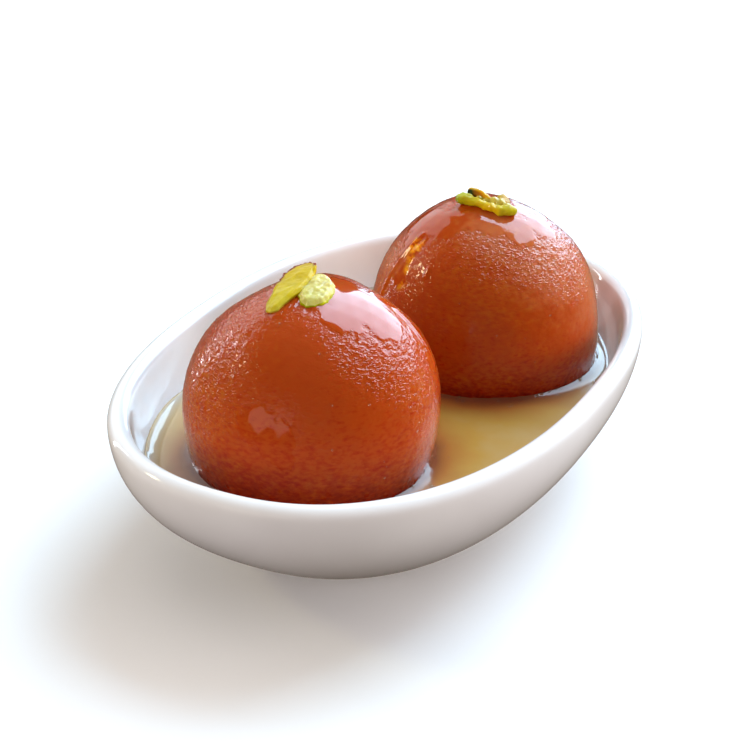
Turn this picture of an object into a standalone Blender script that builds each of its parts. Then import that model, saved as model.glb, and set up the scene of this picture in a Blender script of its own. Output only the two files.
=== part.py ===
"""Two gulab jamun in sugar syrup, in a small oval porcelain dish, each topped with sliced pistachio.

Metres, +Z up. The origin is the middle of the dish's foot, on the table, and X runs along the dish.
"""
import math

import bmesh
import bpy
from mathutils import Vector

MM = 0.001
FIT_GAP = 0.3 * MM  # clear space between pieces that lie in or on one another

# Dish: a thick porcelain oval with a round lip, on a low foot ring.
DISH_LENGTH = 123.8 * MM
DISH_WIDTH = 81.3 * MM
DISH_HEIGHT = 27.6 * MM
LIP_RADIUS = 1.9 * MM
PLAN_SQUARENESS = 2.3  # exponent of the oval: 2 is an ellipse, more is squarer
PLAN_EGG = 0.019  # how much wider than the middle the dish gets towards +X, as a share
OUTER_BELLY = 0.505  # size of the oval where the outer wall starts to rise, as a share of the lip's
OUTER_CURVE = 1.76  # how late the wall swells: more keeps it low for longer
INNER_BELLY = 0.585
INNER_CURVE = 1.45
FLOOR_TOP = 3.8 * MM
FOOT_HEIGHT = 1.2 * MM
FOOT_WIDTH = 3.0 * MM
FOOT_INSET = 1.5 * MM  # how far the foot stands in under the belly
FOOT_ROUNDING = 0.3 * MM
FOOT_RECESS = 0.8 * MM
DISH_SEGMENTS = 64
OUTER_RINGS = 8
LIP_RINGS = 6
INNER_RINGS = 10

# Syrup: fills the dish round the dumplings, up to this level.
SYRUP_LEVEL = 17.5 * MM

# Dumplings: fried milk balls, slightly square in profile and heavier below.
DUMPLING_SQUARENESS = 2.16
LUMP_SPREAD = math.radians(22.0)
BASE_FLAT = 0.5 * MM  # how far the underside is pressed in where it rests on the dish's floor
SKIN_DIVISIONS = 4

# A lump is an azimuth and a latitude in degrees, and how far the skin stands out there.
FRONT = {
    "name": "gulab_jamun_front",
    "middle": Vector((-26.9, 1.7, 26.9)) * MM,
    "radius": 21.4 * MM,
    "top": 20.4 * MM,
    "sag": 0.035,
    "lumps": ((7, 61, 1.0 * MM), (80, 51, -0.5 * MM), (-23, 51, -0.45 * MM), (-47, 26, 0.3 * MM),
              (-76, -26, -0.55 * MM), (170, 40, 0.25 * MM), (200, -5, -0.3 * MM)),
}
BACK = {
    "name": "gulab_jamun_back",
    "middle": Vector((24.2, -7.5, 25.6)) * MM,
    "radius": 22.1 * MM,
    "top": 22.3 * MM,
    "sag": 0.104,
    "lumps": ((-34, 53, -0.6 * MM), (45, 65, 0.4 * MM), (-81, -27, 0.4 * MM), (-69, 0, -0.3 * MM),
              (-56, 27, 0.3 * MM), (111, 0, -0.5 * MM)),
}

# Pistachio pieces. Each is a run of slices from end to end, and a slice gives the place on the
# dumpling's top, along X and Y from its middle, the width, the thickness and the lift off the skin.
SLICE_POINTS = 10
SLICE_SQUARENESS = 2.6
SLICE_STEPS = 2
PISTACHIO = {
    "pistachio_front_sliver": (FRONT, (
        (-8.5, 1.1, 2.0, 0.7, 0.0), (-7.1, 1.3, 3.3, 1.0, 0.0), (-3.6, 1.7, 4.7, 1.4, 0.0),
        (-0.2, 2.1, 4.7, 1.6, 0.1), (2.3, 2.4, 4.0, 1.8, 0.1), (3.6, 2.6, 2.8, 1.4, 0.4))),
    "pistachio_front_slice": (FRONT, (
        (-4.9, -2.5, 1.8, 0.7, 0.0), (-3.8, -2.6, 3.2, 1.2, 0.0), (-1.6, -2.4, 4.2, 1.6, 0.0),
        (0.6, -2.0, 3.7, 1.8, 0.0), (1.7, -1.6, 2.7, 1.6, 0.1), (2.3, -1.4, 1.4, 1.0, 0.4))),
    "pistachio_back_strip": (BACK, (
        (-2.5, 4.4, 1.2, 1.0, 0.2), (-2.8, 3.6, 2.0, 1.7, 0.0), (-3.3, 1.8, 1.7, 1.5, 0.0),
        (-3.7, -0.1, 1.4, 1.2, 0.0), (-4.2, -2.2, 1.4, 1.2, 0.0), (-4.1, -4.0, 1.6, 1.3, 0.0),
        (-3.3, -5.3, 1.6, 1.3, 0.0), (-2.3, -5.9, 1.0, 0.9, 0.0))),
    "pistachio_back_flap": (BACK, (
        (-1.1, 3.2, 0.7, 1.0, 1.0), (-1.2, 2.5, 0.9, 1.8, 0.4), (-1.5, 1.2, 1.0, 2.1, 0.1),
        (-1.8, -0.1, 1.0, 1.9, 0.0), (-1.9, -1.0, 0.9, 1.2, 0.0), (-1.9, -1.5, 0.6, 0.7, 0.1))),
    "pistachio_back_chip": (BACK, (
        (-1.1, -3.9, 1.0, 0.5, 0.2), (-0.7, -3.4, 1.9, 0.8, 0.1), (-0.1, -2.7, 2.3, 0.9, 0.1),
        (0.5, -2.1, 1.7, 0.8, 0.2), (0.8, -1.8, 0.8, 0.4, 0.4))),
}

PORCELAIN = {"name": "porcelain_glaze", "colour": (0.86, 0.85, 0.85), "roughness": 0.12}
SYRUP = {"name": "sugar_syrup", "colour": (0.62, 0.38, 0.11), "roughness": 0.05}
CRUST = {"name": "soaked_crust", "colour": (0.40, 0.055, 0.008), "roughness": 0.25}
KERNEL = {"name": "pistachio_kernel", "colour": (0.63, 0.57, 0.07), "roughness": 0.35}


def clear_scene():
    for thing in list(bpy.data.objects):
        bpy.data.objects.remove(thing, do_unlink=True)


def make_material(finish):
    material = bpy.data.materials.new(finish["name"])
    material.use_nodes = True
    shader = material.node_tree.nodes["Principled BSDF"]
    shader.inputs["Base Color"].default_value = (*finish["colour"], 1.0)
    shader.inputs["Roughness"].default_value = finish["roughness"]
    shader.inputs["Metallic"].default_value = 0.0
    return material


def make_object(name, shape, material):
    """Hand the finished bmesh over as a smooth-shaded object with its own material."""
    bmesh.ops.recalc_face_normals(shape, faces=shape.faces)
    mesh = bpy.data.meshes.new(name)
    shape.to_mesh(mesh)
    shape.free()
    mesh.shade_smooth()
    mesh.set_sharp_from_angle(angle=math.radians(40.0))
    piece = bpy.data.objects.new(name, mesh)
    piece.data.materials.append(material)
    bpy.context.scene.collection.objects.link(piece)
    return piece


def loft(rings):
    """A closed body through a stack of rings that all have the same number of points."""
    shape = bmesh.new()
    loops = []
    for ring in rings:
        points = [shape.verts.new(point) for point in ring]
        loops.append([shape.edges.new((a, b)) for a, b in zip(points, points[1:] + points[:1])])
    for below, above in zip(loops, loops[1:]):
        bmesh.ops.bridge_loops(shape, edges=below + above)
    for end in (loops[0], loops[-1]):
        bmesh.ops.contextual_create(shape, geom=end)
    return shape


def signed_power(value, power):
    return math.copysign(abs(value) ** power, value)


def oval(share, grow, height):
    """A level ring of the dish's plan: a share of the lip's centre line, grown outwards evenly."""
    half_length = (DISH_LENGTH / 2 - LIP_RADIUS) * share + grow
    half_width = (DISH_WIDTH / 2 - LIP_RADIUS) * share + grow
    ring = []
    for index in range(DISH_SEGMENTS):
        turn = math.tau * index / DISH_SEGMENTS
        along = signed_power(math.cos(turn), 2 / PLAN_SQUARENESS)
        across = signed_power(math.sin(turn), 2 / PLAN_SQUARENESS) * (1 + PLAN_EGG * along)
        ring.append(Vector((half_length * along, half_width * across, height)))
    return ring


def wall_share(turn, belly, curve):
    """How far out a wall has swelled, a turn of its quarter circle up from the floor."""
    return belly + (1 - belly) * math.sin(turn) ** curve


def inner_turns():
    """Turns of the inner wall's rings, from the lip down to the floor."""
    return [math.pi / 2 * (1 - index / INNER_RINGS) for index in range(1, INNER_RINGS + 1)]


def inner_height(turn):
    return FLOOR_TOP + (DISH_HEIGHT - LIP_RADIUS - FLOOR_TOP) * (1 - math.cos(turn))


def inner_ring(turn, gap=0.0):
    """A ring of the dish's inner wall, or of what fills it with a gap all round."""
    share = wall_share(turn, INNER_BELLY, INNER_CURVE)
    return oval(share, -LIP_RADIUS - gap, inner_height(turn) + gap)


def dish_rings():
    """From the recess under the dish, round its foot, up the wall, over the lip and down inside."""
    rise = DISH_HEIGHT - LIP_RADIUS
    first_turn = math.acos(1 - FOOT_HEIGHT / rise)
    foot = wall_share(first_turn, OUTER_BELLY, OUTER_CURVE)
    edge = LIP_RADIUS - FOOT_INSET
    rings = [
        oval(foot, edge - FOOT_WIDTH - FOOT_RECESS, FOOT_RECESS),
        oval(foot, edge - FOOT_WIDTH, 0.0),
        oval(foot, edge - FOOT_ROUNDING, 0.0),
        oval(foot, edge, FOOT_ROUNDING),
        oval(foot, edge, FOOT_HEIGHT - FOOT_ROUNDING),
    ]
    for index in range(OUTER_RINGS):
        turn = first_turn + (math.pi / 2 - first_turn) * index / OUTER_RINGS
        share = wall_share(turn, OUTER_BELLY, OUTER_CURVE)
        rings.append(oval(share, LIP_RADIUS, rise * (1 - math.cos(turn))))
    for index in range(LIP_RINGS + 1):
        turn = math.pi * index / LIP_RINGS
        rings.append(oval(1.0, LIP_RADIUS * math.cos(turn), rise + LIP_RADIUS * math.sin(turn)))
    return rings + [inner_ring(turn) for turn in inner_turns()]


def syrup_rings():
    """From just above the dish's floor to the level, a gap inside its wall."""
    depth = DISH_HEIGHT - LIP_RADIUS - FLOOR_TOP
    level_turn = math.acos(1 - (SYRUP_LEVEL - FIT_GAP - FLOOR_TOP) / depth)
    turns = [turn for turn in reversed(inner_turns()) if turn < level_turn]
    return [inner_ring(turn, FIT_GAP) for turn in turns + [level_turn]]


def skin_point(dumpling, direction, height=0.0):
    """Where a direction from a dumpling's middle meets its skin, or a height outside it."""
    level = abs(direction.z)
    flat = math.hypot(direction.x, direction.y)
    share = math.copysign(level ** (2 / DUMPLING_SQUARENESS), direction.z)
    base = FLOOR_TOP + FIT_GAP
    bottom = dumpling["middle"].z - base + BASE_FLAT
    half_height = dumpling["top"] if direction.z > 0 else bottom
    girth = dumpling["radius"] * flat ** (2 / DUMPLING_SQUARENESS) * (1 - dumpling["sag"] * share)
    stretch = girth / flat if flat > 1e-6 else 0.0
    offset = Vector((direction.x * stretch, direction.y * stretch, half_height * share))
    for azimuth, latitude, amount in dumpling["lumps"]:
        a = math.radians(azimuth)
        b = math.radians(latitude)
        towards = Vector((math.cos(a) * math.cos(b), math.sin(a) * math.cos(b), math.sin(b)))
        apart = towards.angle(direction)
        offset += direction * amount * math.exp(-((apart / LUMP_SPREAD) ** 2))
    point = dumpling["middle"] + offset + direction * height
    point.z = max(point.z, base - max(height, 0.0))
    return point


def dumpling_shape(dumpling, height=0.0):
    shape = bmesh.new()
    bmesh.ops.create_icosphere(shape, subdivisions=SKIN_DIVISIONS, radius=1.0)
    for vertex in shape.verts:
        vertex.co = skin_point(dumpling, vertex.co.normalized(), height)
    return shape


def above_skin(dumpling, along, across, height):
    """A point over a dumpling's top, and the way out of the skin there."""
    rise = math.sqrt(dumpling["radius"] ** 2 - along ** 2 - across ** 2)
    outwards = Vector((along, across, rise)).normalized()
    return skin_point(dumpling, outwards, height), outwards


def smooth_run(slices, steps):
    """More slices between the given ones, on a curve that passes through each of them."""
    padded = [slices[0], *slices, slices[-1]]
    run = []
    for before, here, there, after in zip(padded, padded[1:], padded[2:], padded[3:]):
        for step in range(steps):
            t = step / steps
            run.append([
                0.5 * (2 * b + (c - a) * t + (2 * a - 5 * b + 4 * c - d) * t * t
                       + (3 * b - a - 3 * c + d) * t ** 3)
                for a, b, c, d in zip(before, here, there, after)
            ])
    run.append(list(slices[-1]))
    return run


def pistachio_rings(dumpling, slices):
    """Rounded cross-sections of a cut kernel, set square to its run along the skin."""
    run = []
    for values in smooth_run(slices, SLICE_STEPS):
        along, across, width, thickness, lift = (value * MM for value in values)
        middle, outwards = above_skin(dumpling, along, across, FIT_GAP + lift + thickness / 2)
        run.append((middle, outwards, width / 2, thickness / 2))
    rings = []
    for index, (middle, outwards, half_width, half_thickness) in enumerate(run):
        before = run[max(index - 1, 0)][0]
        after = run[min(index + 1, len(run) - 1)][0]
        sideways = outwards.cross(after - before).normalized()
        ring = []
        for corner in range(SLICE_POINTS):
            turn = math.tau * corner / SLICE_POINTS
            side = half_width * signed_power(math.cos(turn), 2 / SLICE_SQUARENESS)
            up = half_thickness * signed_power(math.sin(turn), 2 / SLICE_SQUARENESS)
            ring.append(middle + sideways * side + outwards * up)
        rings.append(ring)
    return rings


def cut_out(piece, tool):
    """Take a tool body out of a piece, and keep the tool as a wire guide only."""
    tool.hide_render = True
    tool.display_type = "WIRE"
    cut = piece.modifiers.new("cut_" + tool.name, "BOOLEAN")
    cut.operation = "DIFFERENCE"
    cut.solver = "EXACT"
    cut.object = tool


def main():
    clear_scene()
    crust = make_material(CRUST)
    kernel = make_material(KERNEL)
    syrup_finish = make_material(SYRUP)
    make_object("dish", loft(dish_rings()), make_material(PORCELAIN))
    syrup = make_object("syrup", loft(syrup_rings()), syrup_finish)
    for dumpling in (FRONT, BACK):
        make_object(dumpling["name"], dumpling_shape(dumpling), crust)
        hollow = make_object(
            "hollow_of_" + dumpling["name"], dumpling_shape(dumpling, FIT_GAP), syrup_finish)
        cut_out(syrup, hollow)
    for name, (dumpling, slices) in PISTACHIO.items():
        make_object(name, loft(pistachio_rings(dumpling, slices)), kernel)


main()
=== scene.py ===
import math
import random

import bmesh
import bpy
from mathutils import Matrix, Quaternion, Vector, noise
from mathutils.bvhtree import BVHTree


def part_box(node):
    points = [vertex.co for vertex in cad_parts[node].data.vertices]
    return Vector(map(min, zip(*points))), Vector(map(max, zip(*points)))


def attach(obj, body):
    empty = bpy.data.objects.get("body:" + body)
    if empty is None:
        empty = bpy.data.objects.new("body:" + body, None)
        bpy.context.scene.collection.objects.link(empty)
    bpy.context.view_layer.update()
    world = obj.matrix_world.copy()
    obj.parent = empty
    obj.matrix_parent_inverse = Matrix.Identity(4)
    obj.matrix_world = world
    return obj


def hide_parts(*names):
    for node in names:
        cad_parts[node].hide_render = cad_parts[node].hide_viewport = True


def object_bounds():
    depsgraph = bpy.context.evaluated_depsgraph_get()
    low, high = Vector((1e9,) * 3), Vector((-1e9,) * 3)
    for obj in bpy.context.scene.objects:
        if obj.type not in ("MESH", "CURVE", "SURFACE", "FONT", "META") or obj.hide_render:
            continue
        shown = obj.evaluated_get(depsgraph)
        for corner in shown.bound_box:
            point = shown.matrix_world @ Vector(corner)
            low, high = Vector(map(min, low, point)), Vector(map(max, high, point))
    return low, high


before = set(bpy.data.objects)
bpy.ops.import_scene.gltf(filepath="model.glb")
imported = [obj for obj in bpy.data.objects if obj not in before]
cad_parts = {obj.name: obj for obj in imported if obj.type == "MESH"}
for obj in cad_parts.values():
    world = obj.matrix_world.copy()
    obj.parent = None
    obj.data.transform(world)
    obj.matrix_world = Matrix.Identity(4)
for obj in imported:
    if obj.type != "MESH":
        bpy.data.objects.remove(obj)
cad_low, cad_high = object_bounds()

# ------------------------------------------------------------------------------- table and daylight
# The dish stands on a plain pale tabletop. Daylight comes in from behind, through a large window on
# the right and a smaller one on the left, and the room in front of the dish is dim. The ceiling and
# three fills send back the light that such a room and tabletop would.
MM = 0.001
VIEW_AIM = Vector((0.7, 3.7, 19.7)) * MM
VIEW_DISTANCE = 272.3 * MM
VIEW_AZIMUTH = math.radians(-64.12)
VIEW_ELEVATION = math.radians(25.9)
VIEW_ROLL = math.radians(0.93)
VIEW_LENS = 71.5

TABLE_SIZE = 40.0
TABLE_COLOUR = "#f7f6f5"
# The room's shades from straight down to straight up, palest where the table's far edge shows.
ROOM_SHADES = (
    (0.0, "#4c443e"), (0.14, "#625850"), (0.28, "#988878"), (0.42, "#5a504a"), (0.50, "#2e2c2b"),
    (1.0, "#54514f"),
)

# Each light is a name, the azimuth and height of its middle in degrees, its width and height in
# metres, how far off it is, its colour, its power in watts, and whether the glossy food mirrors it.
LIGHTS = (
    ("large_window", -11.0, 39.5, 2.6, 3.2, 3.0, "#bfe1fa", 194.0, True),
    ("low_pane", 7.0, 3.5, 0.9, 0.7, 3.0, "#bce2ff", 9.0, True),
    ("small_window", 58.0, 27.0, 2.7, 2.1, 3.0, "#f4f6fb", 22.0, True),
    ("pale_wall", 174.0, 6.0, 2.1, 1.0, 3.0, "#ffe8dc", 7.4, True),
    ("curtain_gap", 80.0, 11.0, 0.16, 1.9, 3.0, "#f6f8ff", 14.0, True),
    ("warm_lamp", 110.0, 31.0, 0.36, 0.36, 3.0, "#fff3c0", 12.0, True),
    ("lit_ceiling", -30.0, 75.0, 5.0, 5.0, 3.0, "#fff4ec", 56.0, False),
    ("front_fill", 212.0, 8.0, 3.0, 2.0, 3.0, "#fbf2ee", 17.5, False),
    ("left_fill", 146.0, 12.0, 2.0, 1.5, 3.0, "#f6f4f8", 46.0, False),
    ("right_fill", -60.0, 3.0, 2.6, 2.2, 3.0, "#f6f2f4", 170.0, False),
)


def from_hex(colour):
    """An sRGB hex colour as linear light, with full alpha."""
    channels = [int(colour[place:place + 2], 16) / 255 for place in (1, 3, 5)]
    return [c / 12.92 if c <= 0.04045 else ((c + 0.055) / 1.055) ** 2.4 for c in channels] + [1.0]


def add_node(tree, kind, inputs=None, stops=None, **settings):
    """Add a node. An input is given a value or another node's output, and a ramp its stops."""
    node = tree.nodes.new("ShaderNode" + kind)
    for name, value in settings.items():
        setattr(node, name, value)
    for name, value in (inputs or {}).items():
        if isinstance(value, bpy.types.NodeSocket):
            tree.links.new(value, node.inputs[name])
        else:
            node.inputs[name].default_value = value
    if stops:
        ramp = node.color_ramp.elements
        while len(ramp) < len(stops):
            ramp.new(1.0)
        for element, (position, colour) in zip(ramp, stops):
            element.position = position
            element.color = from_hex(colour)
    return node


def new_material(name):
    """A material with its shader, and its node tree."""
    material = bpy.data.materials.new(name)
    material.use_nodes = True
    tree = material.node_tree
    return material, tree, tree.nodes["Principled BSDF"]


def new_piece(name, shape, material):
    """Hand a finished bmesh over as a smooth-shaded object, with its place in its mesh."""
    mesh = bpy.data.meshes.new(name)
    shape.to_mesh(mesh)
    shape.free()
    mesh.shade_smooth()
    if material:
        mesh.materials.append(material)
    piece = bpy.data.objects.new(name, mesh)
    bpy.context.scene.collection.objects.link(piece)
    return piece


def towards(azimuth, latitude):
    """The direction at an azimuth and a latitude in degrees."""
    a = math.radians(azimuth)
    b = math.radians(latitude)
    return Vector((math.cos(a) * math.cos(b), math.sin(a) * math.cos(b), math.sin(b)))


def tabletop():
    # Matt white laminate: a plain pale ground with next to no sheen, on which a soft shadow shows.
    material, tree, shader = new_material("matt_white_laminate")
    shader.inputs["Base Color"].default_value = from_hex(TABLE_COLOUR)
    shader.inputs["Roughness"].default_value = 0.9
    shader.inputs["Specular IOR Level"].default_value = 0.1
    shape = bmesh.new()
    bmesh.ops.create_grid(shape, x_segments=1, y_segments=1, size=TABLE_SIZE / 2)
    return new_piece("tabletop", shape, material)


floor = tabletop()
# The fills stand in for the light that it would send back, and the glossy food doesn't mirror it.
floor.visible_glossy = False
floor.visible_diffuse = False

back = Vector((
    math.sin(VIEW_AZIMUTH) * math.cos(VIEW_ELEVATION),
    -math.cos(VIEW_AZIMUTH) * math.cos(VIEW_ELEVATION),
    math.sin(VIEW_ELEVATION),
))
camera = bpy.data.objects.new("camera", bpy.data.cameras.new("camera"))
camera.data.lens = VIEW_LENS
camera.data.clip_start = 10 * MM
camera.location = VIEW_AIM + back * VIEW_DISTANCE
camera.rotation_mode = "QUATERNION"
camera.rotation_quaternion = (-back).to_track_quat("-Z", "Y") @ Quaternion((0, 0, 1), VIEW_ROLL)
bpy.context.scene.collection.objects.link(camera)
bpy.context.scene.camera = camera

for name, azimuth, height, width, tall, distance, colour, power, mirrored in LIGHTS:
    light = bpy.data.lights.new(name, "AREA")
    light.shape = "RECTANGLE"
    light.size = width
    light.size_y = tall
    light.energy = power
    light.color = from_hex(colour)[:3]
    lamp = bpy.data.objects.new(name, light)
    lamp.location = towards(azimuth, height) * distance
    lamp.rotation_mode = "QUATERNION"
    lamp.rotation_quaternion = (-lamp.location).to_track_quat("-Z", "Y")
    lamp.visible_camera = False
    lamp.visible_glossy = mirrored
    bpy.context.scene.collection.objects.link(lamp)

room = bpy.data.worlds.new("room")
room.use_nodes = True
facing = add_node(room.node_tree, "TexCoord").outputs["Generated"]
upward = add_node(room.node_tree, "SeparateXYZ", {"Vector": facing}).outputs["Z"]
share = add_node(room.node_tree, "MapRange", {"Value": upward, "From Min": -1.0})
shades = add_node(room.node_tree, "ValToRGB", {"Fac": share.outputs["Result"]}, stops=ROOM_SHADES)
room.node_tree.links.new(
    shades.outputs["Color"], room.node_tree.nodes["Background"].inputs["Color"])
bpy.context.scene.world = room
bpy.context.scene.view_settings.view_transform = "Standard"

# --------------------------------------------------------------------------------------------- dish
# A small oval dish of thick white porcelain, pressed in a mould, glazed all over and fired. Its
# foot is wiped clean of glaze so that it doesn't stick in the kiln, and stays matt there.
GLAZE_COLOURS = ("#f3f1ef", "#ebe8e6")
SPECK_COLOUR = "#8f8a86"
FOOT_COLOUR = "#d8d0c6"
FOOT_BARE_TO = 0.25 * MM


def merged_copy(node_name):
    """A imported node's shape with its loose triangles joined up, in quads where two make one."""
    shape = bmesh.new()
    shape.from_mesh(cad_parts[node_name].data)
    bmesh.ops.remove_doubles(shape, verts=shape.verts, dist=0.001 * MM)
    bmesh.ops.join_triangles(
        shape, faces=shape.faces,
        angle_face_threshold=math.radians(40), angle_shape_threshold=math.radians(60))
    return shape


def glazed_porcelain():
    # White porcelain under a clear glaze: a crisp mirror over a body that is barely warm. Clouds of
    # slightly greyer white are about 25 mm across, rare iron specks a third of a millimetre, and
    # the fired glaze ripples very gently every 9 mm. The foot is bare, matt and a little darker.
    material, tree, shader = new_material("glazed_porcelain")
    place = add_node(tree, "TexCoord").outputs["Object"]
    clouds = add_node(tree, "TexNoise", {"Vector": place, "Scale": 1 / (25 * MM), "Detail": 3.0})
    body = add_node(tree, "ValToRGB", {"Fac": clouds.outputs["Fac"]}, stops=(
        (0.35, GLAZE_COLOURS[0]), (0.65, GLAZE_COLOURS[1])))
    dots = add_node(tree, "TexVoronoi", {"Vector": place, "Scale": 1 / (8 * MM)})
    speck = add_node(tree, "MapRange", {
        "Value": dots.outputs["Distance"], "From Min": 0.012, "From Max": 0.022,
        "To Min": 0.6, "To Max": 0.0})
    speckled = add_node(tree, "MixRGB", {
        "Fac": speck.outputs["Result"], "Color1": body.outputs["Color"],
        "Color2": from_hex(SPECK_COLOUR)})
    height = add_node(tree, "SeparateXYZ", {"Vector": place}).outputs["Z"]
    bare = add_node(tree, "MapRange", {
        "Value": height, "From Min": FOOT_BARE_TO, "From Max": 0.6 * FOOT_BARE_TO})
    colour = add_node(tree, "MixRGB", {
        "Fac": bare.outputs["Result"], "Color1": speckled.outputs["Color"],
        "Color2": from_hex(FOOT_COLOUR)})
    gloss = add_node(tree, "MapRange", {
        "Value": bare.outputs["Result"], "To Min": 0.08, "To Max": 0.7})
    waves = add_node(tree, "TexNoise", {"Vector": place, "Scale": 1 / (9 * MM), "Detail": 1.0})
    ripple = add_node(tree, "Bump", {
        "Height": waves.outputs["Fac"], "Distance": 0.05 * MM, "Strength": 0.5})
    tree.links.new(colour.outputs["Color"], shader.inputs["Base Color"])
    tree.links.new(gloss.outputs["Result"], shader.inputs["Roughness"])
    tree.links.new(ripple.outputs["Normal"], shader.inputs["Normal"])
    shader.inputs["IOR"].default_value = 1.54
    return material


dish = new_piece("porcelain_dish", merged_copy("dish"), glazed_porcelain())
rounding = dish.modifiers.new("rounding", "SUBSURF")
rounding.levels = 2
rounding.render_levels = 2
dish.visible_glossy = False
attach(dish, "root")
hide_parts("dish")

# ---------------------------------------------------------------------------------------- dumplings
# Balls of milk dough, fried dark and left to soak in hot syrup. The crust has shrunk into fine
# pebbles, and where the syrup still lies thick on it a smooth wet film fills them.
SKIN_CUTS = 126
SKIN_SMOOTHINGS = 6
PEBBLE = 0.95 * MM
PEBBLE_TOP = 0.12  # how far its middle stands out of the crust, before its height scales it
PEBBLE_HEIGHT = 0.13  # in millimetres, as are the crease's depth and the two rises below
CREASE = 0.6 * MM
CREASE_DEPTH = 0.07
PEBBLES_FLATTENED = 1.5  # how much wider than tall they are
EVEN_PEBBLING = 0.38
MOST_PEBBLING = 1.1
FILM_FILLS = 0.97  # how much of the pebbling the film hides
FILM_EDGE = (-0.04, 0.10)
WET_BELOW = (0.30, 0.55)  # how far down it is wet all round: the sines of two latitudes
WAVE = 7.0 * MM
WAVE_DEPTH = 0.12 * MM
FILM_DEPTH = 0.06 * MM
RISE_AT_NUTS = 0.30
NUT_RISE_WIDTH = 0.45
WET_ROUND_NUTS = (0.5, 0.9)
NUT_SEARCH = 2 * MM
RISE_OF_RUNS = 0.28
RUN_WIDTH = 1.3  # in degrees round the dumpling
# Every patch has a ragged edge: how often a large rag and a small one fit into a dumpling's radius.
LARGE_RAGS = 8
SMALL_RAGS = 22
NUTS = ("pistachio_front_sliver", "pistachio_front_slice", "pistachio_back_strip",
        "pistachio_back_flap", "pistachio_back_chip")

# Where the film lies: an azimuth, a latitude and a reach, all in degrees.
FRONT_FILM = (
    (-82, 71, 15), (-62, 57, 13), (-90, 54, 9), (-118, 66, 10), (-50, 78, 12),
    (-176, 18, 9), (-169, 13, 9), (-164, 5, 5), (-66, 40, 7), (-70, 28, 6),
)
BACK_FILM = (
    (-175, 72, 9), (-150, 69, 8), (-124, 63, 9), (-92, 60, 8), (-62, 63, 5),
    (124, 58, 11), (137, 48, 8), (152, 63, 10), (141, 40, 7), (145, 30, 6),
)
# Where the crust is smoother or more pebbled than elsewhere, with how much pebbling that adds.
FRONT_PEBBLES = (
    (150, 26, 30, 0.9), (122, 52, 26, 0.6), (-112, 46, 22, 0.75), (-100, 32, 24, 0.35),
    (-90, 8, 24, 0.15), (-168, 46, 20, -0.15), (-120, 12, 22, -0.12),
)
BACK_PEBBLES = (
    (-150, 54, 28, 0.6), (-105, 44, 28, 0.65), (-68, 52, 18, 0.4), (125, 30, 16, 0.9),
    (-140, 0, 45, -0.12),
)
# Runs of syrup that have set on their way down, each a line of azimuths and latitudes.
FRONT_RUNS = (((-58, 52), (-66, 40), (-70, 26)),)
BACK_RUNS = (((141, 52), (139, 42), (138, 31), (136, 14)), ((165, 38), (165, 34)))
# Golden syrup soaked into the crust and pooled in its hollows, with painted glow: the bright
# patches on the farther dumpling are painted light shining through pooled syrup, and the broad
# ones are painted light on lit flanks.
# Each is an azimuth, a latitude, a reach and how golden it is.
FRONT_GOLD_AND_GLOW = ((142, 24, 46, 0.14), (152, 8, 24, 0.10), (-92, 22, 22, 0.08))
BACK_GOLD_AND_GLOW = (
    (144, 45, 5, 1.0), (146, 40, 6, 0.9), (149, 34, 4, 0.9), (151, 26, 4, 0.8),
    (128, 20, 26, 0.2), (-160, 30, 55, 0.12),
)
# How softly gold fades towards its edge: a deep pool's edge is sharper than that of the rest.
POOL_FADE = 0.4
SOAKED_FADE = 1.2
# Where a crust is paler: less soaked crust on the nearer dumpling, and painted sheen where the
# farther one's crust catches the light.
FRONT_PALE = ((40, 22, 28), (75, 50, 20))
BACK_PAINTED_SHEEN = ((-108, 44, 34), (-80, 25, 36), (-150, 62, 20), (125, 35, 18))
# The crust's colours, from its top down to where it lies in syrup. The darkening towards the
# bottom is partly that soaking and partly painted shade.
SOAK_AND_SHADE_COLOURS = ((0.0, "#b0430d"), (0.20, "#a83505"), (0.42, "#9c1e00"), (0.75, "#760200"))
PALE_CRUST_AND_SHEEN = "#d08a5c"
GOLD_AND_GLOW_COLOURS = ((0.35, "#b44a04"), (0.50, "#e88406"), (0.68, "#f4b41c"))


def degrees_off(direction, azimuth, latitude):
    """How many degrees a direction is off an azimuth and a latitude."""
    return math.degrees(direction.angle(towards(azimuth, latitude)))


def nearness(direction, patches):
    """How close a direction comes to the nearest patch: 1 in its middle, 0 at its reach."""
    return max(1.0 - degrees_off(direction, azimuth, latitude) / reach
               for azimuth, latitude, reach in patches)


def ramped(value, low, high):
    """The share of the way from low to high, eased at both ends."""
    share = min(max((value - low) / (high - low), 0.0), 1.0)
    return share * share * (3 - 2 * share)


def run_height(direction, runs):
    """How high a set run of syrup stands in a direction, from 0 to 1."""
    best = 0.0
    for run in runs:
        points = [towards(*point) for point in run]
        for start, end in zip(points, points[1:]):
            way = end - start
            share = min(max((direction - start).dot(way) / way.length_squared, 0.0), 1.0)
            apart = math.degrees(direction.angle(start + way * share))
            best = max(best, math.exp(-(apart / RUN_WIDTH) ** 2))
    return best


def measuring_tree(shape):
    """A tree that finds where rays meet a shape, and its nearest points."""
    tree = BVHTree.FromBMesh(shape)
    shape.free()
    return tree


def box_middle(node_name):
    """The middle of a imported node's box."""
    low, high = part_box(node_name)
    return (low + high) / 2


def smooth_out(shape, times):
    """Draw each vertex halfway towards the middle of its neighbours."""
    for _ in range(times):
        bmesh.ops.smooth_vert(shape, verts=shape.verts, factor=0.5,
                              use_axis_x=True, use_axis_y=True, use_axis_z=True)


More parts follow.
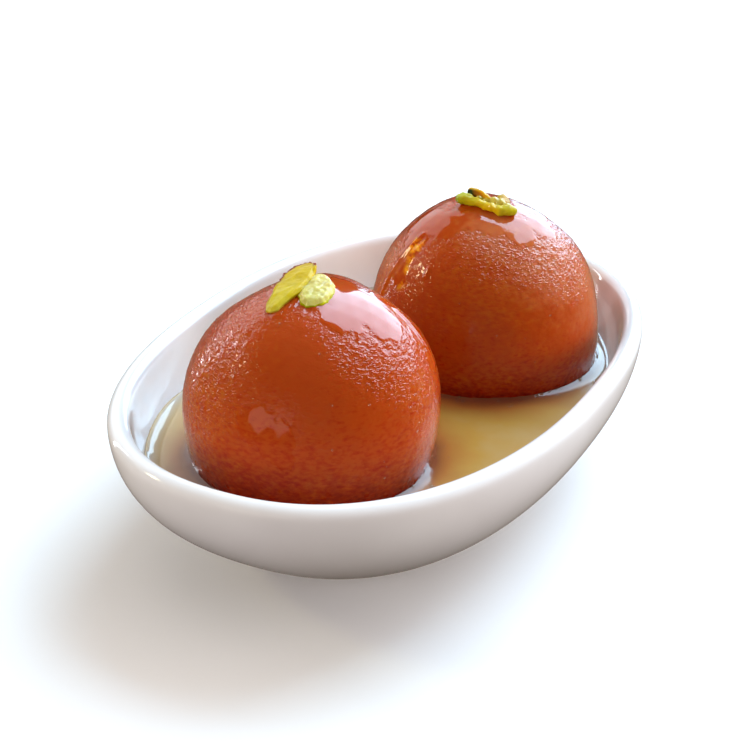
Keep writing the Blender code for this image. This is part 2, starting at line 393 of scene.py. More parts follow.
def crusted_ball(node_name, films, rough_spots, runs, gold_and_glow_patches, pale_and_sheen_spots, deeper):
    """A dumpling's skin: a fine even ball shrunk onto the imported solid, then pebbled."""
    solid = bmesh.new()
    solid.from_mesh(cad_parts[node_name].data)
    target = measuring_tree(solid)
    toppings = bmesh.new()
    for nut in NUTS:
        toppings.from_mesh(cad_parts[nut].data)
    nuts = measuring_tree(toppings)
    middle = box_middle(node_name)
    shape = bmesh.new()
    bmesh.ops.create_cube(shape, size=2.0)
    bmesh.ops.subdivide_edges(shape, edges=shape.edges, cuts=SKIN_CUTS, use_grid_fill=True)
    # The tangent spreads a cube's grid evenly over a ball.
    for vertex in shape.verts:
        direction = Vector([math.tan(c * math.pi / 4) for c in vertex.co]).normalized()
        vertex.co = target.ray_cast(middle, direction)[0]
    smooth_out(shape, SKIN_SMOOTHINGS)
    shape.normal_update()
    film, bumps, soak_and_shade, amber_and_glow, pale = [
        shape.verts.layers.float.new(mark) for mark in ("film", "pebbly", "soak_and_shade", "amber_and_glow", "pale")]
    moves = []
    for vertex in shape.verts:
        place = vertex.co
        direction = (place - middle).normalized()
        ragged = (0.20 * noise.noise(direction * LARGE_RAGS)
                  + 0.22 * noise.noise(direction * SMALL_RAGS))
        wet = ramped(nearness(direction, films) + ragged, *FILM_EDGE)
        wet = max(wet, ramped(ragged - direction.z, *WET_BELOW))
        pebbly = EVEN_PEBBLING
        for azimuth, latitude, reach, more in rough_spots:
            off = degrees_off(direction, azimuth, latitude)
            pebbly += more * (1 - ramped(off / reach, 0.3, 1.2))
        run = run_height(direction, runs)
        to_nut = (nuts.find_nearest(place, NUT_SEARCH)[3] or NUT_SEARCH) / MM
        lift = RISE_AT_NUTS * math.exp(-(to_nut / NUT_RISE_WIDTH) ** 2) + RISE_OF_RUNS * run
        wet = max(wet, 1 - ramped(to_nut + ragged, *WET_ROUND_NUTS), ramped(run, 0.1, 0.5))
        flattened = Vector((place.x, place.y, place.z * PEBBLES_FLATTENED))
        cells = noise.voronoi(flattened / PEBBLE)[0]
        dome = PEBBLE_TOP - cells[0] ** 2
        crease = noise.noise(flattened / CREASE) * CREASE_DEPTH
        pebbly = min(pebbly, MOST_PEBBLING) * (1 - FILM_FILLS * wet)
        relief = (dome * PEBBLE_HEIGHT + crease) * pebbly
        waves = noise.noise(place / WAVE) * WAVE_DEPTH
        moves.append(vertex.normal * (relief * MM + waves + FILM_DEPTH * wet + lift * MM))
        vertex[film] = wet
        vertex[bumps] = pebbly
        # Golden where syrup has soaked in, with painted glow in its pools and on lit flanks.
        vertex[amber_and_glow] = max(
            gold * ramped(nearness(direction, [patch]) + 2 * ragged, 0.0,
                          POOL_FADE if gold == 1.0 else SOAKED_FADE)
            for *patch, gold in gold_and_glow_patches)
        # Paler patches: less soaked crust, and painted sheen on the farther dumpling.
        vertex[pale] = ramped(nearness(direction, pale_and_sheen_spots) + ragged, -0.1, 0.9)
        # Darker towards the bottom, more so underneath: partly soaked, partly painted shade.
        under = ramped(-direction.z, 0.0, 0.45)
        vertex[soak_and_shade] = 0.5 - 0.5 * direction.z + 0.35 * under + deeper
    for vertex, move in zip(shape.verts, moves):
        vertex.co += move
    return shape


def fried_crust():
    # Fried milk dough soaked in syrup: a deep red brown with browner mottling about 5 mm across and
    # paler flecks of a millimetre, lit a little from within, under a thin clear coat of syrup that
    # breaks into glints on the pebbles. Real pebbles are 0.3 mm and less; 0.6 mm is the finest that
    # can be seen here, so they are drawn that large. It darkens towards the bottom, partly soaked
    # and partly painted shade. Its paler patches are less soaked crust on the nearer dumpling and
    # painted sheen on the farther one. Its golden patches are syrup soaked in, with painted glow
    # where light shines through pooled syrup and on lit flanks.
    material, tree, shader = new_material("syrup_soaked_crust")
    place = add_node(tree, "TexCoord").outputs["Object"]
    flattened = add_node(tree, "VectorMath", {0: place, 1: (1.0, 1.0, 2.0)}, operation="MULTIPLY")
    mottle = add_node(tree, "TexNoise", {"Vector": place, "Scale": 1 / (5 * MM), "Detail": 5.0})
    flecks = add_node(tree, "TexNoise", {
        "Vector": flattened.outputs["Vector"], "Scale": 1 / (1.1 * MM), "Detail": 4.0})
    # Darker towards the bottom: partly soaked in syrup, partly painted shade.
    soak_and_shade = add_node(tree, "Attribute", attribute_name="soak_and_shade").outputs["Fac"]
    uneven = add_node(tree, "Math", {
        0: mottle.outputs["Fac"], 1: 0.50, 2: soak_and_shade}, operation="MULTIPLY_ADD")
    spread = add_node(tree, "Math", {
        0: flecks.outputs["Fac"], 1: -1.2, 2: uneven.outputs["Value"]}, operation="MULTIPLY_ADD")
    body = add_node(tree, "ValToRGB", {"Fac": spread.outputs["Value"]}, stops=SOAK_AND_SHADE_COLOURS)
    # Paler patches: less soaked crust, and painted sheen on the farther dumpling.
    pale_and_sheen_mask = add_node(tree, "Attribute", attribute_name="pale").outputs["Fac"]
    pale_and_sheen_share = add_node(tree, "MapRange", {"Value": pale_and_sheen_mask, "To Max": 0.36})
    crust_with_pale_and_sheen = add_node(tree, "MixRGB", {
        "Fac": pale_and_sheen_share.outputs["Result"], "Color1": body.outputs["Color"],
        "Color2": from_hex(PALE_CRUST_AND_SHEEN)})
    # Golden patches: syrup soaked in, with painted glow where light shines through it.
    golden = add_node(tree, "Attribute", attribute_name="amber_and_glow").outputs["Fac"]
    pooled = add_node(tree, "ValToRGB", {"Fac": flecks.outputs["Fac"]}, stops=GOLD_AND_GLOW_COLOURS)
    colour = add_node(tree, "MixRGB", {
        "Fac": golden, "Color1": crust_with_pale_and_sheen.outputs["Color"], "Color2": pooled.outputs["Color"]})
    grain = add_node(tree, "TexNoise", {
        "Vector": flattened.outputs["Vector"], "Scale": 1 / (0.62 * MM), "Detail": 1.0})
    blister = add_node(tree, "MapRange", {
        "Value": grain.outputs["Fac"], "From Min": 0.44, "From Max": 0.76},
        interpolation_type="SMOOTHSTEP")
    wrinkles = add_node(tree, "TexNoise", {
        "Vector": flattened.outputs["Vector"], "Scale": 1 / (2.4 * MM), "Detail": 2.0})
    rise = add_node(tree, "Math", {
        0: wrinkles.outputs["Fac"], 1: 1.3, 2: blister.outputs["Result"]}, operation="MULTIPLY_ADD")
    film = add_node(tree, "Attribute", attribute_name="film").outputs["Fac"]
    rough = add_node(tree, "MapRange", {"Value": film, "To Min": 0.30, "To Max": 0.12})
    fine = add_node(tree, "Attribute", attribute_name="pebbly").outputs["Fac"]
    # The coat follows the pebbles fully. The crust's own shading is softer, lit from within.
    relief = add_node(tree, "Bump", {
        "Height": rise.outputs["Value"], "Distance": 0.135 * MM, "Strength": fine})
    softened = add_node(tree, "Bump", {
        "Height": rise.outputs["Value"], "Distance": 0.045 * MM, "Strength": fine})
    tree.links.new(colour.outputs["Color"], shader.inputs["Base Color"])
    tree.links.new(rough.outputs["Result"], shader.inputs["Roughness"])
    tree.links.new(softened.outputs["Normal"], shader.inputs["Normal"])
    tree.links.new(relief.outputs["Normal"], shader.inputs["Coat Normal"])
    shader.inputs["IOR"].default_value = 1.46
    shader.inputs["Subsurface Weight"].default_value = 0.5
    shader.inputs["Subsurface Radius"].default_value = (1.0, 0.22, 0.06)
    shader.inputs["Subsurface Scale"].default_value = 2.5 * MM
    shader.inputs["Specular IOR Level"].default_value = 0.1
    shader.inputs["Coat Weight"].default_value = 1.0
    shader.inputs["Coat Roughness"].default_value = 0.03
    shader.inputs["Coat IOR"].default_value = 1.42
    return material


crust = fried_crust()
# Each dumpling: its patches, and how much deeper into its soaked colours and painted shade its
# crust starts than an even one's.
for node_name, *marks in (
    ("gulab_jamun_front", FRONT_FILM, FRONT_PEBBLES, FRONT_RUNS, FRONT_GOLD_AND_GLOW, FRONT_PALE, -0.02),
    ("gulab_jamun_back", BACK_FILM, BACK_PEBBLES, BACK_RUNS, BACK_GOLD_AND_GLOW, BACK_PAINTED_SHEEN, -0.18),
):
    dumpling = new_piece("crust_of_" + node_name, crusted_ball(node_name, *marks), crust)
    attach(dumpling, "root")
    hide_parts(node_name)

# -------------------------------------------------------------------------------------------- syrup
# Sugar boiled down in water with a little cardamom, thin and golden, and clear but for a faint
# haze. It wets the porcelain and the dumplings, so its surface climbs a little way up all of them.
SYRUP_STEP = 0.58 * MM
# The piece reaches a little way into the porcelain and the crusts, so that no air shows between.
SYRUP_REACH = 0.2 * MM
CRUST_REACH = 0.5 * MM
CLIMB_ON_CRUST = 0.75 * MM
CRUST_CLIMB_WIDTH = 1.8 * MM
# It climbs the porcelain most at the end where it was poured in, and hardly at all elsewhere.
POURED_IN_AT = math.radians(146)
POURED_SPREAD = (0.86, 0.99)  # the cosines of how far round from there it climbs
CLIMB_ON_GLAZE = (0.05 * MM, 0.95 * MM)
GLAZE_CLIMB_WIDTH = (0.8 * MM, 3.2 * MM)
AT_THE_WALL = 0.999  # the share of the way out past which a vertex is on the porcelain
# Near the crusts the syrup is redder and darker: partly crust colour seeped into it, partly painted
# shade and painted reflection of the crusts.
LEACH_AND_SHADE_WIDTH = 2.5 * MM  # how far the crust colours the syrup
SHALLOW = 6.0 * MM  # the depth over which it gains its own gold
# Its colours, from clean to full of crust and painted shade, and where it is shallow.
SYRUP_SHADES = ((0.15, "#fad682"), (0.32, "#f9c44c"), (0.60, "#ec9430"), (1.0, "#a84c14"))
SHALLOW_SHADES = ((0.50, "#f4e2c6"), (0.92, "#fffaf4"))
SYRUP_TINT = "#e8bc3c"

DOWN = Vector((0, 0, -1))
ABOVE = 1.0  # a height well over everything, to look down from
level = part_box("syrup")[1].z
porcelain = measuring_tree(merged_copy("dish"))
dumplings = {
    name: measuring_tree(merged_copy(name)) for name in ("gulab_jamun_front", "gulab_jamun_back")}


def pool():
    """A body of syrup from the dish's floor to its level, a little way into the porcelain."""
    low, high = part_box("syrup")
    shape = bmesh.new()
    bmesh.ops.create_grid(
        shape, x_segments=round((high.x - low.x) / SYRUP_STEP),
        y_segments=round((high.y - low.y) / SYRUP_STEP), size=1.0)
    # The square grid is spread out to the porcelain, so that its rows follow the oval.
    centre = Vector((0, 0, level))
    way_out = shape.verts.layers.float.new("part_of_the_way")
    gap = shape.verts.layers.float.new("gap_to_glaze")
    for vertex in shape.verts:
        share = max(abs(vertex.co.x), abs(vertex.co.y))
        way = Vector((vertex.co.x * high.x, vertex.co.y * high.y, 0)).normalized()
        reach = (porcelain.ray_cast(centre, way)[0] - centre).length if share else 0.0
        vertex.co = centre + way * reach * share
        vertex[way_out] = share
        vertex[gap] = reach * (1 - share)

    def outside_of(ball, place):
        near, normal, _, _ = ball.find_nearest(place)
        return (place - near).dot(normal)

    # Its faces are finer where the surface climbs the crusts.
    climbing = {vertex for vertex in shape.verts if any(
        -SYRUP_STEP < outside_of(ball, vertex.co) < CRUST_CLIMB_WIDTH + SYRUP_STEP
        for ball in dumplings.values())}
    bmesh.ops.subdivide_edges(
        shape, edges=[edge for edge in shape.edges if climbing.issuperset(edge.verts)],
        cuts=2, use_grid_fill=True)
    bmesh.ops.triangulate(shape, faces=[face for face in shape.faces if len(face.verts) > 4])
    depths = {}
    for vertex in shape.verts:
        place = vertex.co.copy()
        turned = math.cos(math.atan2(place.y, place.x) - POURED_IN_AT)
        wetted = ramped(turned, *POURED_SPREAD)
        width = GLAZE_CLIMB_WIDTH[0] + (GLAZE_CLIMB_WIDTH[1] - GLAZE_CLIMB_WIDTH[0]) * wetted
        climb = CLIMB_ON_GLAZE[0] + (CLIMB_ON_GLAZE[1] - CLIMB_ON_GLAZE[0]) * wetted
        climb *= max(1 - vertex[gap] / width, 0.0) ** 2
        for ball in dumplings.values():
            outside = max(outside_of(ball, place), 0.0)
            climb = max(climb, CLIMB_ON_CRUST * max(1 - outside / CRUST_CLIMB_WIDTH, 0.0) ** 2)
        outward = (place - centre).normalized() * SYRUP_REACH * vertex[way_out]
        vertex.co = place + outward + Vector((0, 0, climb))
        ground = porcelain.ray_cast(place, DOWN)[0] if vertex[way_out] < AT_THE_WALL else None
        depths[vertex] = ground.z if ground else level - SYRUP_REACH

    def seen_from_above(vertex):
        return round(vertex.co.x, 9), round(vertex.co.y, 9)

    # A copy of the surface, joined on all round, is dropped onto the dish's floor.
    extruded = bmesh.ops.extrude_face_region(shape, geom=shape.faces[:])["geom"]
    grounds = {
        seen_from_above(vertex): depths[vertex] for vertex in shape.verts if vertex in depths}
    for element in extruded:
        if isinstance(element, bmesh.types.BMVert):
            element.co.z = grounds[seen_from_above(element)] - SYRUP_REACH
    bmesh.ops.recalc_face_normals(shape, faces=shape.faces)
    return shape


def hollow_out(piece, node_name):
    """Cut a dumpling's shape out of a piece, a little smaller than the dumpling itself."""
    shape = merged_copy(node_name)
    shape.normal_update()
    for vertex, normal in [(v, v.normal.copy()) for v in shape.verts]:
        vertex.co -= normal * CRUST_REACH
    tool = new_piece("tool", shape, None)
    cut = piece.modifiers.new("hollow", "BOOLEAN")
    cut.operation = "DIFFERENCE"
    cut.object = tool
    whole = piece.evaluated_get(bpy.context.evaluated_depsgraph_get())
    mesh = bpy.data.meshes.new_from_object(whole)
    piece.modifiers.clear()
    piece.data = mesh
    bpy.data.objects.remove(tool)


def stain_and_shade_near_crust(piece):
    """Mark how near the syrup lies to a crust, for its seeped-in crust colour and painted shade,
    and where it is shallow, from 1 to 0.
    """
    for name in ("leached_and_shaded", "shallow"):
        piece.data.attributes.new(name, "FLOAT", "POINT")
    leached_and_shaded = piece.data.attributes["leached_and_shaded"].data
    shallow = piece.data.attributes["shallow"].data
    for vertex, near_crust, near_glaze in zip(piece.data.vertices, leached_and_shaded, shallow):
        apart = min(ball.find_nearest(vertex.co)[3] for ball in dumplings.values())
        near_crust.value = math.exp(-apart / LEACH_AND_SHADE_WIDTH)
        depth = porcelain.ray_cast(Vector((vertex.co.x, vertex.co.y, level)), DOWN)[3] or 0.0
        near_glaze.value = math.exp(-depth / SHALLOW)


def golden_syrup():
    # Sugar syrup: clear gold with a faint haze about 11 mm across, which half hides the porcelain
    # under it. Near the crusts it is redder and darker, partly crust colour seeped into it and
    # partly painted shade and painted reflection of the crusts. It is paler where it is shallow.
    material, tree, shader = new_material("sugar_syrup")
    place = add_node(tree, "TexCoord").outputs["Object"]
    leached_and_shaded = add_node(tree, "Attribute", attribute_name="leached_and_shaded").outputs["Fac"]
    haze = add_node(tree, "TexNoise", {"Vector": place, "Scale": 1 / (11 * MM), "Detail": 3.0})
    share = add_node(tree, "Math", {
        0: haze.outputs["Fac"], 1: 0.5, 2: leached_and_shaded}, operation="MULTIPLY_ADD")
    body = add_node(tree, "ValToRGB", {"Fac": share.outputs["Value"]}, stops=SYRUP_SHADES)
    shallow = add_node(tree, "Attribute", attribute_name="shallow").outputs["Fac"]
    thin = add_node(tree, "ValToRGB", {"Fac": shallow}, stops=SHALLOW_SHADES)
    thinned = add_node(tree, "MixRGB", {
        "Fac": shallow, "Color1": body.outputs["Color"], "Color2": thin.outputs["Color"]})
    tree.links.new(thinned.outputs["Color"], shader.inputs["Base Color"])
    shader.inputs["Roughness"].default_value = 0.02
    shader.inputs["IOR"].default_value = 1.44
    shader.inputs["Transmission Weight"].default_value = 0.5
    tint = add_node(tree, "VolumeAbsorption", {"Color": from_hex(SYRUP_TINT), "Density": 60.0})
    tree.links.new(tint.outputs["Volume"], tree.nodes["Material Output"].inputs["Volume"])
    return material


syrup = new_piece("syrup_pool", pool(), golden_syrup())
for node_name in dumplings:
    hollow_out(syrup, node_name)
stain_and_shade_near_crust(syrup)
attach(syrup, "root")
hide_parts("syrup")

# -------------------------------------------------------------------------------- bubbles and beads
# Tiny bubbles that gather where the syrup meets the dumplings, and beads of syrup left on the
# crust. Both are clear, and show as small glints. Their sizes are radii in millimetres.
DROP_SEED = 11
BUBBLE_SIZES = (0.13, 0.42)
BUBBLE_SPREAD = 3.0
BEAD_SIZES = (0.10, 0.22)
BEAD_LIFT = 0.2  # how far a bead's middle stands off the crust, as a share of its radius
# Where bubbles gather: round which dumpling, from and to which azimuth, and how many.
BUBBLE_ARCS = (("gulab_jamun_back", 176, 262, 26), ("gulab_jamun_front", -105, -45, 14))
# Where beads lie: on which dumpling, round which azimuth and latitude, how far off, and how many.
BEAD_SPOTS = (("gulab_jamun_front", 178, 64, 4, 3), ("gulab_jamun_front", -105, 8, 16, 12),
              ("gulab_jamun_front", -150, 35, 30, 8), ("gulab_jamun_back", -150, 30, 35, 10),
              ("gulab_jamun_front", 40, 30, 50, 8), ("gulab_jamun_back", 40, 30, 50, 8))


def scattered_drops():
    """Small domes set where rays meet the syrup's or a crust's surface."""
    chance = random.Random(DROP_SEED)
    surface = bmesh.new()
    surface.from_mesh(syrup.data)
    water = measuring_tree(surface)
    shape = bmesh.new()
    for node_name, first, last, count in BUBBLE_ARCS:
        middle = box_middle(node_name)
        for _ in range(count):
            way = towards(chance.uniform(first, last), 0)
            rim = dumplings[node_name].ray_cast(Vector((middle.x, middle.y, level)), way)[0]
            size = BUBBLE_SIZES[0] + (BUBBLE_SIZES[1] - BUBBLE_SIZES[0]) * chance.random() ** 2
            place = rim + way * (size + chance.random() ** 2 * BUBBLE_SPREAD) * MM
            top = water.ray_cast(Vector((place.x, place.y, ABOVE)), DOWN)[0]
            if top:
                bmesh.ops.create_icosphere(
                    shape, subdivisions=2, radius=size * MM, matrix=Matrix.Translation(top))
    for node_name, azimuth, latitude, reach, count in BEAD_SPOTS:
        skin = bmesh.new()
        skin.from_mesh(bpy.data.objects["crust_of_" + node_name].data)
        pebbled = measuring_tree(skin)
        middle = box_middle(node_name)
        for _ in range(count):
            way = towards(azimuth + chance.uniform(-reach, reach),
                          latitude + chance.uniform(-reach, reach))
            place = pebbled.ray_cast(middle, way)[0]
            size = chance.uniform(*BEAD_SIZES) * MM
            bmesh.ops.create_icosphere(
                shape, subdivisions=2, radius=size,
                matrix=Matrix.Translation(place + way * size * BEAD_LIFT))
    return shape


def clear_syrup_drop(name, light, deep, clearness):
    # A drop of sugar syrup: clear, smooth and faintly tinted, so that it shows mostly as a glint.
    # Its tint changes over about 2 mm.
    material, tree, shader = new_material(name)
    place = add_node(tree, "TexCoord").outputs["Object"]
    cloud = add_node(tree, "TexNoise", {"Vector": place, "Scale": 1 / (2 * MM)})
    tint = add_node(tree, "ValToRGB", {"Fac": cloud.outputs["Fac"]},
                    stops=((0.35, light), (0.65, deep)))
    tree.links.new(tint.outputs["Color"], shader.inputs["Base Color"])
    shader.inputs["Roughness"].default_value = 0.02
    shader.inputs["IOR"].default_value = 1.44
    shader.inputs["Transmission Weight"].default_value = clearness
    return material


drops = new_piece("syrup_drops", scattered_drops(),
                  clear_syrup_drop("clear_syrup_drop", "#fbf3df", "#f6e6bd", 0.9))
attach(drops, "root")

# ---------------------------------------------------------------------------------------- pistachio
# Slivers cut from blanched pistachio kernels, scattered on while the syrup was wet, which glazes
# them. The kernel is yellow and green, and keeps a rim of its dark reddish skin here and there.
NUT_GRAIN = 0.12 * MM
NUT_STAIN = "#c8600a"
NUT_SKIN = "#7c2c10"
LARGE_FOLD = 1.7 * MM
SMALL_FOLD = 0.75 * MM
WRINKLE = 0.24  # in millimetres, where a cut has no wrinkling of its own below
TEAR = 0.9 * MM  # the size of the tears in a flat cut's skin, and of the rags along its rim
RAG = 0.55 * MM
RAG_REACH = (0.4, 0.4, 0.3)
NUT_SUNK = 0.1  # how far a flat cut has sunk into the film, in millimetres
NUT_SWELL = 0.12
STRIP_END_SWELL = 0.18
SKINNED_FROM = (3.2, 6.0)  # where a flat cut's skin begins, and where it is whole
SLIVER_OUTLINE = (
    (-6.3, 0.4), (-5.7, -0.7), (-3.2, -1.3), (-0.3, -2.1), (2.6, -2.0), (5.4, -1.5),
    (6.9, -0.7), (7.2, 0.5), (6.8, 1.7), (5.6, 2.5), (4.3, 3.1), (3.0, 3.5),
    (1.1, 3.3), (-0.9, 3.0), (-2.9, 2.5), (-4.8, 2.1), (-5.9, 1.5),
)
SLICE_OUTLINE = (
    (-4.7, 0.5), (-4.0, -0.6), (-2.9, -1.3), (-1.3, -1.7), (0.6, -1.4), (2.3, -0.8), (3.5, 0.1),
    (4.3, 1.2), (4.6, 2.6), (4.0, 3.7), (2.4, 4.2), (0.2, 3.8), (-2.6, 3.0), (-4.2, 1.8),
)
# The flat pieces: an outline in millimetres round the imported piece's middle, how thick it is, how
# far its right edge and its far end are raised, how wrinkled it is, and how much skin is on it.
FLAT_CUTS = {
    "pistachio_front_sliver": (SLIVER_OUTLINE, 1.1, 0.45, 1.35, 0.07, 1.0),
    "pistachio_front_slice": (SLICE_OUTLINE, 1.25, 0.0, 0.5, 0.24, 0.0),
}
# Each cut piece: the way along which its colour changes, the colours that it passes through, the
# colour of its upward faces, partly the cut face and partly painted light from above, how much
# of that there is, and how thickly syrup glazes it.
NUT_SHADES = (
    ("pistachio_front_sliver", (1.0, 0.25, 0.3), (
        (0.0, "#c8bc40"), (0.30, "#c8b010"), (0.80, "#ccaa04"), (1.0, "#c09004"),
    ), "#d0b818", 0.3, 0.3),
    ("pistachio_front_slice", (0.8, -0.2, 0.9), (
        (0.0, "#a0aa08"), (0.40, "#bcb818"), (1.0, "#dcca60"),
    ), "#e4d290", 0.5, 0.6),
    ("pistachio_back_strip", (0.2, 1.0, 0.0), (
        (0.0, "#b8b018"), (0.30, "#dcb404"), (0.65, "#c0ac0c"), (1.0, "#94a818"),
    ), "#dccc48", 0.25, 0.45),
    ("pistachio_back_flap", (0.3, 1.0, -0.3), (
        (0.0, "#e0b414"), (0.35, "#cc800a"), (0.60, "#84500c"), (0.70, "#26401a"), (1.0, "#2c1626"),
    ), "#dcae10", 0.8, 0.5),
    ("pistachio_back_chip", (-0.4, 0.3, 1.0), (
        (0.0, "#6c8614"), (0.45, "#b8740c"), (1.0, "#c4a434"),
    ), "#c8a434", 0.5, 0.3),
)


def even_mesh(shape):
    """A shape rebuilt as small even quads, ready for relief."""
    rough = new_piece("rough", shape, None)
    even = rough.modifiers.new("even", "REMESH")
    even.mode = "VOXEL"
    even.voxel_size = NUT_GRAIN
    whole = rough.evaluated_get(bpy.context.evaluated_depsgraph_get())
    fine = bpy.data.meshes.new_from_object(whole)
    bpy.data.objects.remove(rough)
    shape = bmesh.new()
    shape.from_mesh(fine)
    smooth_out(shape, 3)
    return shape


def flat_cut(node_name, outline, thickness):
    """A flat slab with a rounded outline, in its place from above but lying at height nought."""
    middle = box_middle(node_name)
    shape = bmesh.new()
    corners = [shape.verts.new((middle.x + x * MM, middle.y + y * MM, 0)) for x, y in outline]
    face = shape.faces.new(corners)
    top = bmesh.ops.extrude_face_region(shape, geom=[face])["geom"]
    lifted = [element for element in top if isinstance(element, bmesh.types.BMVert)]
    bmesh.ops.translate(shape, vec=(0, 0, thickness * MM), verts=lifted)
    bmesh.ops.recalc_face_normals(shape, faces=shape.faces)
    return even_mesh(shape)


def edge_distance(place, outline):
    """How far a point lies from an outline, seen from above, in millimetres."""
    best = math.inf
    for start, end in zip(outline, outline[1:] + outline[:1]):
        start = Vector(start)
        way = Vector(end) - start
        share = min(max((place - start).dot(way) / way.length_squared, 0.0), 1.0)
        best = min(best, (place - start - way * share).length)
    return best


def cut_nut(node_name, way):
    """A sliver of kernel with a wrinkled face, and the marks that its colours are read from."""
    ball = dumplings["gulab_jamun_" + node_name.split("_")[1]]
    low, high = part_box(node_name)
    middle = box_middle(node_name)
    outline = None
    wrinkle = WRINKLE
    if node_name in FLAT_CUTS:
        outline, thickness, raised, tipped, wrinkle, skinned = FLAT_CUTS[node_name]
        shape = flat_cut(node_name, outline, thickness)
    else:
        shape = even_mesh(merged_copy(node_name))
    shape.normal_update()
    axis = Vector(way).normalized()
    marks = [vertex.co.dot(axis) for vertex in shape.verts]
    first = min(marks)
    last = max(marks)
    along, clear, upward, skin = [
        shape.verts.layers.float.new(mark) for mark in ("along", "clear", "upward", "skin")]
    places = []
    for vertex, mark in zip(shape.verts, marks):
        place = vertex.co.copy()
        folds = 1.1 * noise.noise(place / LARGE_FOLD) + 0.8 * noise.noise(place / SMALL_FOLD)
        vertex[along] = (mark - first) / (last - first) + 0.10 * noise.noise(place / (1.2 * MM))
        # Faces that look up are paler: partly the cut face, partly painted light from above.
        vertex[upward] = ramped(vertex.normal.z, 0.3, 0.8)
        if outline:
            flat = Vector((place.x - middle.x, place.y - middle.y)) / MM
            inwards = edge_distance(flat, outline)
            edge = inwards + 0.12 * noise.noise(place / (0.5 * MM))
            far_out = flat.x + 1.2 * flat.y
            torn = 1.5 * noise.noise(place / TEAR)
            vertex[skin] = (skinned * (1 - ramped(edge, 0.40, 0.75))
                            * ramped(far_out + torn, *SKINNED_FROM))
            rag = noise.noise(place / RAG) * skinned * ramped(far_out, *SKINNED_FROM)
            place += Vector(RAG_REACH) * rag * (1 - ramped(edge, 0.0, 0.8)) * MM
            # It lies on the crust, and leans: its right edge is raised, and its far end tipped up.
            ground = ball.ray_cast(Vector((place.x, place.y, ABOVE)), DOWN)[0]
            lean = raised * ramped(-flat.y, -3.0, 3.4) + tipped * ramped(flat.x, -1.0, 7.0)
            # The knife left its rim about half as thick where no skin holds it, and its near end
            # seven tenths as thick.
            whole = max(ramped(inwards, 0.0, 0.65), skinned * ramped(far_out, 1.5, 4.0))
            thin = (0.55 + 0.45 * whole) * (0.7 + 0.3 * ramped(flat.x, -7.5, -2.5))
            rim = 1 - ramped(edge, 0.0, 0.35)
            vertex[clear] = place.z / MM + lean - 0.5 * skinned * rim
            place.z = place.z * thin + ground.z + (lean - NUT_SUNK) * MM
        else:
            vertex[clear] = ball.find_nearest(place)[3] / MM
            swell = NUT_SWELL
            if node_name == "pistachio_back_strip":
                off_middle = abs(place.y - middle.y - 0.6 * MM) / (high.y - low.y)
                swell += STRIP_END_SWELL * ramped(off_middle, 0.22, 0.42)
            place += vertex.normal * swell * MM
        place += vertex.normal * folds * wrinkle * MM
        places.append(place)
    for vertex, place in zip(shape.verts, places):
        vertex.co = place
    smooth_out(shape, 2)
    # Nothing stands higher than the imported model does.
    for vertex in shape.verts:
        vertex.co.z = min(vertex.co.z, cad_high.z)
    return shape


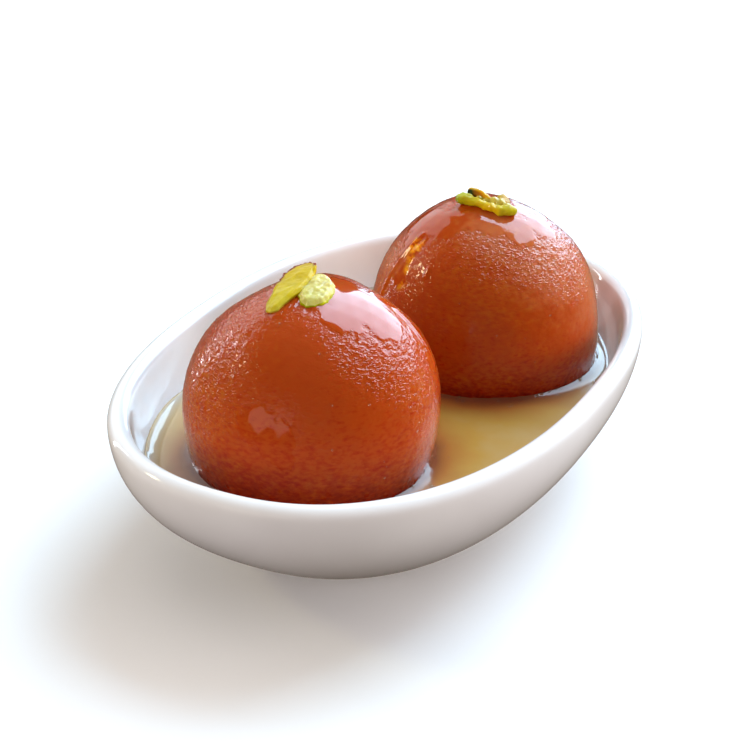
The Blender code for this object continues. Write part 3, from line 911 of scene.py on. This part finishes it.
def pistachio_kernel(name, shades, upper_colour, upper_share, glaze):
    # Cut pistachio kernel glazed with syrup: a waxy yellow to green that light soaks into, orange
    # where it touches the crust, with reddish skin on its rim. Faces that look up are paler: partly
    # the creamier face the knife has left, partly painted light from above.
    # Its grain is much finer than a millimetre, and is drawn 1.4 mm across so that it shows.
    material, tree, shader = new_material(name)
    place = add_node(tree, "TexCoord").outputs["Object"]
    along, clear, upward, skin = [
        add_node(tree, "Attribute", attribute_name=mark).outputs["Fac"]
        for mark in ("along", "clear", "upward", "skin")]
    body = add_node(tree, "ValToRGB", {"Fac": along}, stops=shades)
    # Paler faces that look up: partly the cut face, partly painted light from above.
    top = add_node(tree, "MapRange", {"Value": upward, "To Max": upper_share})
    faced = add_node(tree, "MixRGB", {
        "Fac": top.outputs["Result"], "Color1": body.outputs["Color"],
        "Color2": from_hex(upper_colour)})
    stain = add_node(tree, "MapRange", {
        "Value": clear, "From Min": 0.08, "From Max": 0.42, "To Min": 0.6, "To Max": 0.0})
    soaked = add_node(tree, "MixRGB", {
        "Fac": stain.outputs["Result"], "Color1": faced.outputs["Color"],
        "Color2": from_hex(NUT_STAIN)})
    skinned = add_node(tree, "MixRGB", {
        "Fac": skin, "Color1": soaked.outputs["Color"], "Color2": from_hex(NUT_SKIN)})
    streaks = add_node(tree, "TexNoise", {"Vector": place, "Scale": 1 / (1.4 * MM), "Detail": 3.0})
    depth = add_node(tree, "MapRange", {
        "Value": streaks.outputs["Fac"], "From Min": 0.35, "From Max": 0.7,
        "To Min": 0.90, "To Max": 1.04})
    colour = add_node(tree, "VectorMath", {
        0: skinned.outputs["Color"], 1: depth.outputs["Result"]}, operation="MULTIPLY")
    relief = add_node(tree, "Bump", {
        "Height": streaks.outputs["Fac"], "Distance": 0.16 * MM, "Strength": 0.7})
    tree.links.new(colour.outputs["Vector"], shader.inputs["Base Color"])
    tree.links.new(relief.outputs["Normal"], shader.inputs["Normal"])
    shader.inputs["Roughness"].default_value = 0.35
    shader.inputs["IOR"].default_value = 1.46
    shader.inputs["Specular IOR Level"].default_value = 0.1
    shader.inputs["Subsurface Weight"].default_value = 0.4
    shader.inputs["Subsurface Radius"].default_value = (1.0, 0.85, 0.12)
    shader.inputs["Subsurface Scale"].default_value = 0.6 * MM
    shader.inputs["Coat Weight"].default_value = glaze
    shader.inputs["Coat Roughness"].default_value = 0.06
    shader.inputs["Coat IOR"].default_value = 1.42
    return material


for node_name, way, *finish in NUT_SHADES:
    kernel = pistachio_kernel("glazed_" + node_name, *finish)
    sliver = new_piece(node_name + "_cut", cut_nut(node_name, way), kernel)
    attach(sliver, "root")
    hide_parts(node_name)

# -------------------------------------------------------------------------------- syrup on the nuts
# Thick syrup that has run together between the cut pistachio on the farther dumpling and stayed
# there, clear and yellow. It is made of drops that join into one.
# Each drop is a place and a radius, in millimetres.
NUT_SYRUP = (
    (21.1, -5.4, 48.5, 0.9), (21.5, -6.8, 48.7, 0.9), (22.0, -8.2, 48.7, 0.9),
    (22.2, -9.4, 48.6, 1.0), (22.1, -10.8, 48.4, 1.0), (21.6, -12.2, 48.2, 0.9),
    (22.9, -10.4, 48.4, 0.8), (23.4, -9.2, 48.3, 0.7),
)


def joined_drops():
    """Drops laid side by side and rebuilt as one closed shape."""
    shape = bmesh.new()
    for *place, radius in NUT_SYRUP:
        bmesh.ops.create_icosphere(shape, subdivisions=3, radius=radius * MM,
                                   matrix=Matrix.Translation(Vector(place) * MM))
    return even_mesh(shape)


nut_syrup = new_piece("syrup_between_nuts", joined_drops(),
                      clear_syrup_drop("nut_tinted_syrup", "#f4e470", "#e8cc3c", 0.45))
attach(nut_syrup, "root")
